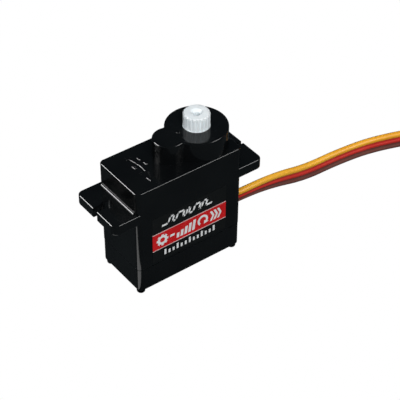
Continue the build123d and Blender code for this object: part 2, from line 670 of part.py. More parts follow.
with BuildPart() as pot_housing:
    with BuildSketch(Plane((AXIS_C, 0, POT_BOTTOM))):
        Circle(POT_RADIUS)
    extrude(amount=POT_TOP - POT_BOTTOM)
    fillet(pot_housing.faces().sort_by(Axis.Z)[-1].edges(), 0.3)
    with BuildSketch(Plane((AXIS_C, 0, POT_BOTTOM))):
        Circle(POT_RADIUS - 0.4)
    extrude(amount=DISC_Z[1] + 0.3 - POT_BOTTOM, mode=Mode.SUBTRACT)
    with BuildSketch(Plane((AXIS_C, 0, POT_BOTTOM))):
        Circle(POT_BORE)
    extrude(amount=POT_TOP, mode=Mode.SUBTRACT)
write("pot_housing", pot_housing.part, BLACK)

with BuildPart() as pot_track:
    with BuildSketch(Plane((AXIS_C, 0, POT_BOTTOM))):
        Circle(POT_RADIUS - 0.4)
    extrude(amount=0.4)
    with BuildSketch(Plane((AXIS_C, 0, TRACK_Z))):
        Circle(3.3)
        Circle(2.3, mode=Mode.SUBTRACT)
        with Locations((0, -3.0)):
            Rectangle(2.0, 3.0, mode=Mode.SUBTRACT)
    extrude(amount=0.1)
write("pot_track", pot_track.part, GREY)

with BuildPart() as pot_rotor:
    with BuildSketch(Plane((AXIS_C, 0, DISC_Z[0]))):
        Circle(3.2)
    extrude(amount=DISC_Z[1] - DISC_Z[0])
    with BuildSketch(Plane((AXIS_C, 0, DISC_Z[1]))):
        Circle(POT_SHAFT_RADIUS)
    extrude(amount=OUTPUT_WHEEL_Z[0] - DISC_Z[1])
    with BuildSketch(Plane((AXIS_C, 0, OUTPUT_WHEEL_Z[0]))):
        Circle(POT_SHAFT_RADIUS)
        with Locations((POT_FLAT + 1.0, 0)):
            Rectangle(2.0, 4.0, mode=Mode.SUBTRACT)
    extrude(amount=FLAT_TOP - 0.1 - OUTPUT_WHEEL_Z[0])
write("pot_rotor", pot_rotor.part, STEEL)

with BuildPart() as pot_wiper:
    with BuildSketch(Plane((AXIS_C, 0, DISC_Z[0] - 0.2))):
        Circle(1.2)
        with Locations((0, 1.7)):
            Rectangle(1.0, 2.6)
    extrude(amount=0.2)
    with BuildSketch(Plane((AXIS_C, 0, TRACK_Z + 0.2))):
        with Locations((0, 2.8)):
            Rectangle(0.8, 0.3)
    extrude(amount=DISC_Z[0] - 0.2 - TRACK_Z - 0.2)
write("pot_wiper", pot_wiper.part, BRASS)

POT_PINS = [(AXIS_C - 1.8, -2.4), (AXIS_C, -3.0), (AXIS_C + 1.8, -2.4)]
PIN_BOTTOM = POT_BOTTOM - 1.6

with BuildPart() as pot_terminals:
    with BuildSketch(Plane.XY.offset(PIN_BOTTOM)):
        with Locations(*POT_PINS):
            Rectangle(0.6, 0.25)
    extrude(amount=POT_BOTTOM - PIN_BOTTOM)
write("pot_terminals", pot_terminals.part, BRASS)

# ---------------------------------------------------------------- control electronics
BOARD_LENGTH = 20.4
BOARD_WIDTH = 9.9

with BuildPart() as circuit_board:
    with BuildSketch(Plane.XY.offset(BOARD_BOTTOM)):
        Rectangle(BOARD_LENGTH, BOARD_WIDTH)
        with Locations(*SCREW_PLACES):
            Circle(POST_RADIUS + 0.15, mode=Mode.SUBTRACT)
    extrude(amount=BOARD_TOP - BOARD_BOTTOM)
write("circuit_board", circuit_board.part, GREEN)

with BuildPart() as control_chip:
    with BuildSketch(Plane.XY.offset(BOARD_BOTTOM - 1.2)):
        with Locations((-4.2, 0)):
            Rectangle(5.2, 4.0)
    extrude(amount=1.1)
    with BuildSketch(Plane.XY.offset(BOARD_BOTTOM - 0.5)):
        with GridLocations(0.0, 5.0, 1, 2):
            with GridLocations(1.0, 0.0, 5, 1):
                with Locations((-4.2, 0)):
                    Rectangle(0.4, 1.0)
    extrude(amount=0.5)
write("control_chip", control_chip.part, BLACK)

with BuildPart() as driver_chip:
    with BuildSketch(Plane.XY.offset(BOARD_BOTTOM - 1.1)):
        with Locations((3.4, 0.4)):
            Rectangle(3.4, 3.0)
    extrude(amount=1.0)
    with BuildSketch(Plane.XY.offset(BOARD_BOTTOM - 0.4)):
        with GridLocations(0.0, 3.8, 1, 2):
            with GridLocations(0.9, 0.0, 4, 1):
                with Locations((3.4, 0.4)):
                    Rectangle(0.35, 0.8)
    extrude(amount=0.4)
write("driver_chip", driver_chip.part, BLACK)

with BuildPart() as board_components:
    with BuildSketch(Plane.XY.offset(BOARD_TOP)):
        with Locations((-8.0, -1.6), (-8.0, 1.6), (0.6, -3.2), (0.6, 3.2)):
            Rectangle(1.6, 0.9)
    extrude(amount=0.7)
    with BuildSketch(Plane.XY.offset(BOARD_TOP)):
        with Locations((-3.0, 0), (2.6, 0), (2.6, 1.8)):
            Rectangle(1.0, 0.6)
    extrude(amount=0.4)
write("board_components", board_components.part, BRASS)


def wire(points, radius, bend):
    """One round insulated wire along straight runs with rounded corners."""
    with BuildPart(mode=Mode.PRIVATE) as one:
        with BuildLine() as route:
            FilletPolyline(*points, radius=bend)
        with BuildSketch(Plane(origin=route.line @ 0, z_dir=route.line % 0)):
            Circle(radius)
        sweep()
    return one.part


with BuildPart() as motor_leads:
    for side in (-1, 1):
        add(
            wire(
                [
                    (AXIS_A, side * 3.1, CAN_BOTTOM - 2.6),
                    (AXIS_A, side * 3.1, BOARD_TOP + 0.6),
                    (AXIS_A - 2.2, side * 3.3, BOARD_TOP + 0.6),
                    (AXIS_A - 2.2, side * 3.3, BOARD_TOP),
                ],
                0.3,
                0.35,
            )
        )
write("motor_leads", motor_leads.part, ORANGE)

with BuildPart() as pot_leads:
    for x, y in POT_PINS:
        add(wire([(x, y, PIN_BOTTOM), (x, y, 8.6), (x, y + 0.8, 7.0), (x, y + 0.8, BOARD_TOP)], 0.3, 0.8))
write("pot_leads", pot_leads.part, ORANGE)

CONDUCTOR_RADIUS = 0.3
BOARD_PAD_Z = BOARD_TOP + 0.4
lowest = LEAD_EXIT_Z - LEAD_THICKNESS
highest = LEAD_EXIT_Z + LEAD_THICKNESS
LEAD_END_ROUTES = [
    [(LEAD_START_X, 0, lowest), (9.8, 0, lowest), (8.8, -1.6, BOARD_PAD_Z)],
    [(LEAD_START_X, 0, LEAD_EXIT_Z), (9.0, 0, LEAD_EXIT_Z), (7.9, 0, BOARD_PAD_Z)],
    [(LEAD_START_X, 0, highest), (9.7, 0, highest), (9.0, 1.6, LEAD_EXIT_Z + 0.3), (8.5, 1.6, BOARD_PAD_Z)],
]
with BuildPart() as lead_ends:
    for end_route in LEAD_END_ROUTES:
        add(wire(end_route, CONDUCTOR_RADIUS, 0.4))
write("lead_ends", lead_ends.part, ORANGE)

# ---------------------------------------------------------------- flat lead, from the case to the coil
# The coil lies on the surface beyond the front right of the case, its turns clockwise from above.
COIL_ENTRY = (72.0, -6.9)
COIL_HEADING = radians(-20.0)
COIL_CENTRE = (
    COIL_ENTRY[0] + LEAD_TURN_RADIUS * sin(COIL_HEADING),
    COIL_ENTRY[1] - LEAD_TURN_RADIUS * cos(COIL_HEADING),
)
LEAD_IN_LENGTH = 10.0
FLOOR_Z = LEAD_LIFT + LEAD_WIDTH / 2
LEAD_IN = (
    COIL_ENTRY[0] - LEAD_IN_LENGTH * cos(COIL_HEADING),
    COIL_ENTRY[1] - LEAD_IN_LENGTH * sin(COIL_HEADING),
)
LEAD_ROUTE = [
    (LEAD_START_X, 0.0, LEAD_EXIT_Z),
    (17.6, 0.0, LEAD_EXIT_Z),
    (25.6, 0.9, 5.0),
    (33.8, 1.2, 2.7),
    (42.6, 1.6, FLOOR_Z),
    (51.6, 0.5, FLOOR_Z),
    (LEAD_IN[0], LEAD_IN[1], FLOOR_Z),
]


def corner_radii(route, share=0.45):
    """Largest tangent arc at each inner point that its two runs have room for."""
    radii = []
    for before, here, after in zip(route, route[1:], route[2:]):
        run_in = Vector(*here) - Vector(*before)
        run_out = Vector(*after) - Vector(*here)
        turn = radians(run_in.get_angle(run_out))
        radii.append(share * min(run_in.length, run_out.length) / tan(turn / 2))
    return radii


LEAD_CORNER_RADIUS = 0.4
lead_radii = corner_radii(LEAD_ROUTE)
print("lead bend radii (mm):", [round(r, 1) for r in lead_radii])

with BuildPart() as lead_ribbon:
    with BuildLine() as lead_line:
        FilletPolyline(*LEAD_ROUTE, radius=lead_radii)
    start_plane = Plane(origin=lead_line.line @ 0, x_dir=(0, 1, 0), z_dir=lead_line.line % 0)
    with BuildSketch(start_plane):
        RectangleRounded(LEAD_THICKNESS, LEAD_WIDTH, LEAD_CORNER_RADIUS)
    sweep()
lead_section = LEAD_WIDTH * LEAD_THICKNESS - (4 - pi) * LEAD_CORNER_RADIUS**2
print(
    "lead volume",
    round(lead_ribbon.part.volume, 1),
    "section x length",
    round(lead_section * sum(e.length for e in lead_line.edges()), 1),
)
write("lead_ribbon", lead_ribbon.part, ORANGE)

# Coil: the ring that one full turn and a little more fill, with the straight stretch that joins it
# and the short inner stretch that leads to the connector.
HOUSING_HEIGHT = 2.55
RING_OUTER = LEAD_TURN_RADIUS + LEAD_THICKNESS / 2
RING_INNER = LEAD_TURN_RADIUS - LEAD_TURN_PITCH - LEAD_THICKNESS / 2
TAIL_RADIUS = 9.0
TAIL_ANGLE = radians(50.0)
TAIL_SWEEP = 100.0
inner_turn = LEAD_TURN_RADIUS - LEAD_TURN_PITCH
tail_start = (
    COIL_CENTRE[0] + inner_turn * cos(TAIL_ANGLE),
    COIL_CENTRE[1] + inner_turn * sin(TAIL_ANGLE),
)
tail_centre = (
    COIL_CENTRE[0] + (inner_turn - TAIL_RADIUS) * cos(TAIL_ANGLE),
    COIL_CENTRE[1] + (inner_turn - TAIL_RADIUS) * sin(TAIL_ANGLE),
)
tail_end_angle = TAIL_ANGLE - radians(TAIL_SWEEP)
tail_end = (
    tail_centre[0] + TAIL_RADIUS * cos(tail_end_angle),
    tail_centre[1] + TAIL_RADIUS * sin(tail_end_angle),
)
tail_heading = tail_end_angle - pi / 2

with BuildPart() as lead_coil:
    with BuildSketch(Plane.XY.offset(LEAD_LIFT)):
        with Locations(COIL_CENTRE):
            Circle(RING_OUTER)
            Circle(RING_INNER, mode=Mode.SUBTRACT)
    extrude(amount=LEAD_WIDTH)
    # the straight stretch that leads in to the outer turn
    middle_x = (COIL_ENTRY[0] + LEAD_IN[0]) / 2
    middle_y = (COIL_ENTRY[1] + LEAD_IN[1]) / 2
    with BuildSketch(Plane.XY.offset(LEAD_LIFT)):
        with Locations(Location((middle_x, middle_y), degrees(COIL_HEADING))):
            Rectangle(LEAD_IN_LENGTH, LEAD_THICKNESS)
    extrude(amount=LEAD_WIDTH)
    # the inner stretch
    with BuildSketch(Plane.XY.offset(LEAD_LIFT)):
        with BuildLine():
            start_degrees = degrees(TAIL_ANGLE)
            arc_out = CenterArc(tail_centre, TAIL_RADIUS + LEAD_THICKNESS / 2, start_degrees, -TAIL_SWEEP)
            arc_in = CenterArc(tail_centre, TAIL_RADIUS - LEAD_THICKNESS / 2, start_degrees, -TAIL_SWEEP)
            Line(arc_out @ 0, arc_in @ 0)
            Line(arc_out @ 1, arc_in @ 1)
        make_face()
    extrude(amount=HOUSING_HEIGHT - LEAD_LIFT)
write("lead_coil", lead_coil.part, ORANGE)

# ---------------------------------------------------------------- tie round both turns
TIE_ANGLE = radians(215.0)
TIE_WIDTH = 2.4
TIE_THICKNESS = 0.1
tie_radius = (RING_OUTER + RING_INNER) / 2
tie_plane = Plane(
    origin=(
        COIL_CENTRE[0] + tie_radius * cos(TIE_ANGLE),
        COIL_CENTRE[1] + tie_radius * sin(TIE_ANGLE),
        FLOOR_Z,
    ),
    x_dir=(cos(TIE_ANGLE), sin(TIE_ANGLE), 0),
    z_dir=(-sin(TIE_ANGLE), cos(TIE_ANGLE), 0),
)
hole_width = RING_OUTER - RING_INNER + 0.16
hole_height = LEAD_WIDTH + 0.06
with BuildPart() as lead_tie:
    with BuildSketch(tie_plane.offset(-TIE_WIDTH / 2)):
        Rectangle(hole_width + 2 * TIE_THICKNESS, hole_height + 2 * TIE_THICKNESS)
        Rectangle(hole_width, hole_height, mode=Mode.SUBTRACT)
    extrude(amount=TIE_WIDTH)
write("lead_tie", lead_tie.part, BLACK)

# ---------------------------------------------------------------- three-way connector
HOUSING_LENGTH = 14.0
HOUSING_WIDTH = 7.7
CONTACT_PITCH = 2.54
CAVITY = 1.9
housing_plane = Plane(
    origin=(tail_end[0], tail_end[1], HOUSING_HEIGHT / 2),
    x_dir=(-sin(tail_heading), cos(tail_heading), 0),
    z_dir=(cos(tail_heading), sin(tail_heading), 0),
)
CONTACT_PLACES = [(-CONTACT_PITCH, 0), (0, 0), (CONTACT_PITCH, 0)]

with BuildPart() as connector_housing:
    with BuildSketch(housing_plane):
        Rectangle(HOUSING_WIDTH, HOUSING_HEIGHT)
    extrude(amount=HOUSING_LENGTH)
    chamfer(connector_housing.edges().filter_by(Axis(housing_plane.origin, housing_plane.z_dir)), 0.25)
    # one cavity for each contact, narrow at the mating face
    with BuildSketch(housing_plane.offset(0.0)):
        with Locations(*CONTACT_PLACES):
            Rectangle(CAVITY, CAVITY)
    extrude(amount=HOUSING_LENGTH - 1.0, mode=Mode.SUBTRACT)
    with BuildSketch(housing_plane.offset(HOUSING_LENGTH - 1.0)):
        with Locations(*CONTACT_PLACES):
            Rectangle(0.8, 0.8)
    extrude(amount=1.0, mode=Mode.SUBTRACT)
write("connector_housing", connector_housing.part, BLACK)

with BuildPart() as connector_contacts:
    with BuildSketch(housing_plane.offset(3.0)):
        with Locations(*CONTACT_PLACES):
            Rectangle(CAVITY - 0.1, CAVITY - 0.1)
            Rectangle(0.9, 0.9, mode=Mode.SUBTRACT)
    extrude(amount=9.8)
write("connector_contacts", connector_contacts.part, BRASS)
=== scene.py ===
from math import cos, pi, radians, sin

import bmesh
import bpy
from mathutils import Matrix, Vector


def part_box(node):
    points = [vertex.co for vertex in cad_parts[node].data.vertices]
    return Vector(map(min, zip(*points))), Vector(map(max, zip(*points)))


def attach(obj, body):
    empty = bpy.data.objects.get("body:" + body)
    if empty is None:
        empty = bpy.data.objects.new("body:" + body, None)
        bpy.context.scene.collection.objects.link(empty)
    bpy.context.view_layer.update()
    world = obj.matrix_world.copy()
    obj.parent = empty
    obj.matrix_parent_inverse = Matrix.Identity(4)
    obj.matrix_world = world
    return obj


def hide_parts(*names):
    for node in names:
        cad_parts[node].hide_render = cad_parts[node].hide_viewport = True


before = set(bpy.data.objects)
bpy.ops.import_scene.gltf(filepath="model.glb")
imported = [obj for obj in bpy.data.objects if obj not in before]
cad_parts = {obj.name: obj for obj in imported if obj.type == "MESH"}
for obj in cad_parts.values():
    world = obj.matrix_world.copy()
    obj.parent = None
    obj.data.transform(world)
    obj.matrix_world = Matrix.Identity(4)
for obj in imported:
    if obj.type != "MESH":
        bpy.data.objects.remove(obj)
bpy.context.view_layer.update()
MM = 0.001
BODY = "case"


# ---------------------------------------------------------------- camera
CAMERA_EYE = Vector((-108.22, -151.49, 171.08)) * MM
CAMERA_AZIMUTH = radians(-37.16)
CAMERA_ELEVATION = radians(40.29)
CAMERA_ROLL = radians(0.46)
SENSOR_MM = 36.0
LENS_MM = 120.3


def make_camera():
    """Camera at the photograph's viewing angle."""
    data = bpy.data.cameras.new("camera")
    data.lens = LENS_MM
    data.sensor_width = SENSOR_MM
    data.clip_start = 0.01
    camera = bpy.data.objects.new("camera", data)
    bpy.context.scene.collection.objects.link(camera)
    az, el = CAMERA_AZIMUTH, CAMERA_ELEVATION
    right = Vector((cos(az), sin(az), 0))
    back = Vector((sin(az) * cos(el), -cos(az) * cos(el), sin(el)))
    up = back.cross(right)
    rolled_right = cos(CAMERA_ROLL) * right + sin(CAMERA_ROLL) * up
    rolled_up = cos(CAMERA_ROLL) * up - sin(CAMERA_ROLL) * right
    turn = Matrix((rolled_right, rolled_up, back)).transposed()
    camera.matrix_world = Matrix.Translation(CAMERA_EYE) @ turn.to_4x4()
    bpy.context.scene.camera = camera


make_camera()


# ---------------------------------------------------------------- node helpers
def new_material(name):
    """A material with a Principled shader; returns the material, its nodes, links and shader."""
    material = bpy.data.materials.new(name)
    material.use_nodes = True
    nodes = material.node_tree.nodes
    return material, nodes, material.node_tree.links, nodes["Principled BSDF"]


def noise(nodes, links, scale, detail=3.0, roughness=0.5):
    """Noise in object space, scale in features per metre."""
    place = nodes.new("ShaderNodeTexCoord")
    texture = nodes.new("ShaderNodeTexNoise")
    texture.inputs["Scale"].default_value = scale
    texture.inputs["Detail"].default_value = detail
    texture.inputs["Roughness"].default_value = roughness
    links.new(place.outputs["Object"], texture.inputs["Vector"])
    return texture


def ramp(nodes, links, source, low, high, start=0.35, end=0.65):
    """Spread a grey output between two colours or two grey values."""
    node = nodes.new("ShaderNodeValToRGB")
    node.color_ramp.elements[0].position = start
    node.color_ramp.elements[1].position = end
    node.color_ramp.elements[0].color = (*low, 1) if len(low) == 3 else (low[0],) * 3 + (1,)
    node.color_ramp.elements[1].color = (*high, 1) if len(high) == 3 else (high[0],) * 3 + (1,)
    links.new(source, node.inputs["Fac"])
    return node.outputs["Color"]


def bump(nodes, links, shader, source, strength, distance):
    """Raise the surface by a grey output; distance in metres."""
    node = nodes.new("ShaderNodeBump")
    node.inputs["Strength"].default_value = strength
    node.inputs["Distance"].default_value = distance
    links.new(source, node.inputs["Height"])
    links.new(node.outputs["Normal"], shader.inputs["Normal"])


def surface(name, low, high, roughness, metallic=0.0, grain=900.0, grain_depth=0.00002, **sockets):
    """A material whose colour and roughness vary gently, with a fine grain in its surface."""
    material, nodes, links, shader = new_material(name)
    broad = noise(nodes, links, grain * 0.25, 4.0)
    links.new(ramp(nodes, links, broad.outputs["Fac"], low, high), shader.inputs["Base Color"])
    worn = noise(nodes, links, grain * 0.6, 5.0, 0.6)
    rough = ramp(nodes, links, worn.outputs["Fac"], (roughness[0],), (roughness[1],))
    links.new(rough, shader.inputs["Roughness"])
    fine = noise(nodes, links, grain * 4.0, 2.0)
    bump(nodes, links, shader, fine.outputs["Fac"], 0.25, grain_depth)
    shader.inputs["Metallic"].default_value = metallic
    for socket, value in sockets.items():
        shader.inputs[socket.replace("_", " ")].default_value = value
    return material


BLACK_GLOSS = surface(
    "case_black",
    (0.0022, 0.0026, 0.0030),
    (0.0036, 0.0042, 0.0046),
    (0.10, 0.17),
    grain=500.0,
    grain_depth=0.000004,
)
SCREW_BLACK = surface(
    "screw_black", (0.008, 0.008, 0.009), (0.02, 0.02, 0.022), (0.3, 0.45), 1.0, grain_depth=0.00001
)
NYLON = surface(
    "nylon_white",
    (0.78, 0.84, 0.87),
    (0.85, 0.90, 0.92),
    (0.32, 0.42),
    grain=700.0,
    Subsurface_Weight=0.5,
    Subsurface_Scale=0.0012,
    Subsurface_Radius=(1.0, 1.0, 1.0),
    IOR=1.53,
)
STEEL = surface("steel", (0.52, 0.53, 0.55), (0.66, 0.67, 0.69), (0.16, 0.3), 1.0, grain_depth=0.000006)
BRASS = surface("brass", (0.62, 0.44, 0.17), (0.78, 0.58, 0.27), (0.18, 0.34), 1.0, grain_depth=0.000006)
TIN = surface("tinned_brass", (0.6, 0.57, 0.5), (0.74, 0.71, 0.64), (0.2, 0.35), 1.0, grain_depth=0.000006)
COPPER = surface("copper", (0.6, 0.27, 0.12), (0.75, 0.4, 0.2), (0.2, 0.4), 1.0, grain_depth=0.000006)
ZINC = surface("motor_steel", (0.45, 0.46, 0.48), (0.6, 0.61, 0.63), (0.25, 0.4), 1.0, grain_depth=0.00001)
LAMINATION = surface("lamination", (0.3, 0.31, 0.33), (0.42, 0.43, 0.45), (0.35, 0.5), 1.0)
FERRITE = surface("ferrite", (0.05, 0.05, 0.055), (0.09, 0.09, 0.1), (0.6, 0.8))
ENAMEL = surface("winding", (0.4, 0.1, 0.03), (0.55, 0.18, 0.05), (0.2, 0.35), 0.6, grain=2500.0)
INNER = surface("inner_plastic", (0.02, 0.02, 0.022), (0.04, 0.04, 0.043), (0.4, 0.55))
BOARD = surface("board", (0.006, 0.09, 0.03), (0.012, 0.14, 0.05), (0.2, 0.35))
CHIP = surface("chip", (0.012, 0.012, 0.013), (0.025, 0.025, 0.026), (0.5, 0.65))
TRACK = surface("track", (0.05, 0.04, 0.035), (0.1, 0.08, 0.07), (0.5, 0.7))
COMPONENT = surface("component", (0.35, 0.24, 0.13), (0.6, 0.45, 0.28), (0.35, 0.5))
LABEL_FILM = surface(
    "label_film",
    (0.0045, 0.005, 0.005),
    (0.006, 0.0065, 0.0065),
    (0.14, 0.2),
    grain=700.0,
    grain_depth=0.000003,
)
LABEL_RED = surface(
    "label_red",
    (0.56, 0.010, 0.012),
    (0.64, 0.014, 0.016),
    (0.2, 0.3),
    grain_depth=0.000003,
)
LABEL_PALE = surface(
    "label_pale",
    (0.62, 0.45, 0.44),
    (0.72, 0.56, 0.55),
    (0.2, 0.3),
    grain_depth=0.000003,
)
LABEL_WHITE = surface(
    "label_white",
    (0.78, 0.79, 0.79),
    (0.86, 0.87, 0.87),
    (0.2, 0.3),
    grain_depth=0.000003,
)
CONNECTOR = surface(
    "connector_black",
    (0.012, 0.012, 0.013),
    (0.022, 0.022, 0.024),
    (0.32, 0.45),
    grain=1200.0,
)
WIRE_ORANGE = surface(
    "wire_orange",
    (0.82, 0.36, 0.02),
    (0.94, 0.48, 0.04),
    (0.3, 0.42),
    grain=350.0,
    grain_depth=0.000002,
)
WIRE_RED = surface(
    "wire_red",
    (0.55, 0.028, 0.022),
    (0.68, 0.045, 0.032),
    (0.3, 0.42),
    grain=350.0,
    grain_depth=0.000002,
)
WIRE_BROWN = surface(
    "wire_brown",
    (0.14, 0.05, 0.04),
    (0.20, 0.07, 0.055),
    (0.3, 0.42),
    grain=350.0,
    grain_depth=0.000002,
)

NODE_MATERIALS = {
    "top_case": BLACK_GLOSS,
    "middle_case": BLACK_GLOSS,
    "bottom_case": BLACK_GLOSS,
    "case_screws": SCREW_BLACK,
    "front_label": LABEL_FILM,
    "output_gear": NYLON,
    "third_gear": NYLON,
    "second_gear": NYLON,
    "first_gear": NYLON,
    "idler_pin": STEEL,
    "motor_pinion": BRASS,
    "motor_can": ZINC,
    "motor_bush": BRASS,
    "motor_magnets": FERRITE,
    "motor_end_cap": INNER,
    "motor_terminals": TIN,
    "motor_brushes": COPPER,
    "motor_shaft": STEEL,
    "commutator": COPPER,
    "armature_core": LAMINATION,
    "armature_windings": ENAMEL,
    "pot_housing": INNER,
    "pot_track": TRACK,
    "pot_rotor": STEEL,
    "pot_wiper": TIN,
    "pot_terminals": TIN,
    "circuit_board": BOARD,
    "control_chip": CHIP,
    "driver_chip": CHIP,
    "board_components": COMPONENT,
    "motor_leads": WIRE_RED,
    "pot_leads": WIRE_ORANGE,
    "lead_ends": WIRE_ORANGE,
    "lead_tie": CONNECTOR,
    "connector_housing": CONNECTOR,
    "connector_contacts": TIN,
}
for node_name, material in NODE_MATERIALS.items():
    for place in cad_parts[node_name].material_slots:
        place.material = material


# ---------------------------------------------------------------- label print
LABEL_LOW, LABEL_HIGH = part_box("front_label")
INK_THICKNESS = 0.015
BAND_Z = (9.25, 13.2)
LINE_WIDTH = 0.16


def plates(name, outlines, material, lift=0.0):
    """Printed shapes: closed outlines in (x, z) in mm, each a thin plate on the label's face."""
    back = LABEL_LOW.y / MM - lift
    front = back - INK_THICKNESS
    mesh = bmesh.new()
    for outline in outlines:
        near = [mesh.verts.new(Vector((x, front, z)) * MM) for x, z in outline]
        far = [mesh.verts.new(Vector((x, back, z)) * MM) for x, z in outline]
        mesh.faces.new(near)
        mesh.faces.new(list(reversed(far)))
        count = len(outline)
        for j in range(count):
            k = (j + 1) % count
            mesh.faces.new((near[j], far[j], far[k], near[k]))
    bmesh.ops.recalc_face_normals(mesh, faces=mesh.faces)
    data = bpy.data.meshes.new(name)
    mesh.to_mesh(data)
    mesh.free()
    data.materials.append(material)
    piece = bpy.data.objects.new(name, data)
    bpy.context.scene.collection.objects.link(piece)
    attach(piece, BODY)
    return piece


def oblong(x0, x1, z0, z1, lean=0.0):
    """Upright oblong, its top moved over by lean."""
    return [(x0, z0), (x1, z0), (x1 + lean, z1), (x0 + lean, z1)]


def ring_parts(x, z, inner, outer, start, stop, steps):
    """Part of a ring, as short plates between two angles in degrees."""
    parts = []
    for k in range(steps):
        a = radians(start + (stop - start) * k / steps)
        b = radians(start + (stop - start) * (k + 1) / steps)
        corners = ((inner, a), (outer, a), (outer, b), (inner, b))
        parts.append([(x + r * cos(t), z + r * sin(t)) for r, t in corners])
    return parts


def gear_icon(x, z, radius):
    """Small gear wheel with eight teeth."""
    parts = ring_parts(x, z, 0.42 * radius, 0.8 * radius, 0, 360, 24)
    for tooth in range(8):
        middle = 45 * tooth
        parts += ring_parts(x, z, 0.78 * radius, radius, middle - 12, middle + 12, 1)
    return parts


def turn_icon(x, z, radius):
    """Three quarters of a ring with an arrowhead."""
    parts = ring_parts(x, z, 0.58 * radius, 0.95 * radius, -30, 230, 18)
    tip = radians(-75)
    root = radians(-30)
    head = [(0.3 * radius, root), (1.25 * radius, root), (0.8 * radius, tip)]
    parts.append([(x + r * cos(t), z + r * sin(t)) for r, t in head])
    return parts


def chevron(x, z, width, height):
    """Arrow shape that points to +X."""
    half = height / 2
    stroke = 0.45 * width
    upper = [(x, z + half), (x + stroke, z + half), (x + width, z), (x + width - stroke, z)]
    lower = [(x + width - stroke, z), (x + width, z), (x + stroke, z - half), (x, z - half)]
    return [upper, lower]


def pulse_train(x, low, high, widths, stroke, lean):
    """Line of square pulses; widths are the lengths of its low and high stretches in turn."""
    parts = []
    up = False
    for number, width in enumerate(widths):
        z = high - stroke if up else low
        shift = lean * (z - low)
        parts.append(oblong(x + shift, x + shift + width + stroke, z, z + stroke, lean * stroke))
        x += width
        if number < len(widths) - 1:
            parts.append(oblong(x, x + stroke, low, high, lean * (high - low)))
        up = not up
    return parts


def print_label():
    """Red band with plain symbols, a pulse train over it and a row of scale marks under it."""
    left, right = LABEL_LOW.x / MM, LABEL_HIGH.x / MM
    low, high = BAND_Z
    plates("label_band", [oblong(left + 0.02, right - 0.02, low, high)], LABEL_RED)
    lines = [oblong(left + 0.02, right - 0.02, z, z + LINE_WIDTH) for z in (low, high - LINE_WIDTH)]
    plates("label_band_lines", lines, LABEL_PALE, INK_THICKNESS)
    middle = (low + high) / 2
    symbols = gear_icon(-6.3, middle, 1.3)
    symbols.append(oblong(-4.7, -3.7, middle - 0.25, middle + 0.25, 0.12))
    for bar in range(5):
        x = -3.2 + 0.86 * bar
        symbols.append(oblong(x, x + 0.58, middle - 1.2, middle - 0.1 + 0.3 * bar, 0.1 + 0.06 * bar))
    symbols += turn_icon(2.7, middle, 1.25)
    for number in range(3):
        symbols += chevron(4.3 + 0.82 * number, middle, 1.05, 2.3)
    plates("label_symbols", symbols, LABEL_WHITE, INK_THICKNESS)
    pulses = (1.2, 0.9, 0.8, 1.5, 0.7, 0.6, 1.0, 1.3, 0.6, 0.9, 1.2)
    plates("label_pulses", pulse_train(-6.4, 14.3, 16.0, pulses, 0.38, 0.3), LABEL_WHITE)
    marks = []
    for number in range(13):
        x = -5.9 + 0.91 * number
        tall = 1.25 if number % 3 == 0 else 0.8
        marks.append(oblong(x, x + 0.42, 7.45, 7.45 + tall))
    plates("label_scale", marks, LABEL_WHITE)


print_label()


# ---------------------------------------------------------------- lead
LEAD_WIDTH = 3.9
LEAD_THICKNESS = 1.3
LEAD_LIFT = 0.15
EXIT_Z = 6.65
FLOOR_Z = LEAD_LIFT + LEAD_WIDTH / 2
HOUSING_MIDDLE = 1.275
TURN_RADIUS = 18.0
TURN_PITCH = 1.5
COIL_ENTRY = Vector((72.0, -6.9, FLOOR_Z))
COIL_HEADING = radians(-20.0)
COIL_DIRECTION = Vector((cos(COIL_HEADING), sin(COIL_HEADING), 0))
COIL_CENTRE = COIL_ENTRY + TURN_RADIUS * Vector((COIL_DIRECTION.y, -COIL_DIRECTION.x, 0))
LEAD_IN_LENGTH = 10.0
POINTS_PER_TURN = 16
TAIL_RADIUS = 9.0
TAIL_ANGLE = radians(50.0)
TAIL_SWEEP = radians(100.0)
TAIL_POINTS = 4
UNTWIST_LENGTH = 17.0
UPRIGHT = 90.0
FLAT_END = 3.0
LEAN = 20.0
SLOT_DEPTH = 1.3
LEAN_RISE = 4.3
LEAN_FALL = 23.0
LEAD_ROUTE = [
    Vector((10.4, 0.0, EXIT_Z)),
    Vector((17.6, 0.0, EXIT_Z)),
    Vector((25.6, 0.9, 5.0)),
    Vector((33.8, 1.2, 2.7)),
    Vector((42.6, 1.6, FLOOR_Z)),
    Vector((51.6, 0.5, FLOOR_Z)),
    COIL_ENTRY - LEAD_IN_LENGTH * COIL_DIRECTION,
]


def around(centre, radius, angle, height):
    """Point on a level circle."""
    return Vector((centre.x + radius * cos(angle), centre.y + radius * sin(angle), height))


def coil_points():
    """Control points of the turns, clockwise from above, each turn a step further in."""
    entry_angle = COIL_HEADING + pi / 2
    turned = entry_angle - TAIL_ANGLE + 2 * pi
    steps = round(turned / (2 * pi) * POINTS_PER_TURN)
    step = turned / steps
    points = []
    for k in range(steps):
        share = (k + 0.5) * step
        radius = (TURN_RADIUS - TURN_PITCH * share / turned) / cos(step / 2)
        points.append(around(COIL_CENTRE, radius, entry_angle - share, FLOOR_Z))
    return points


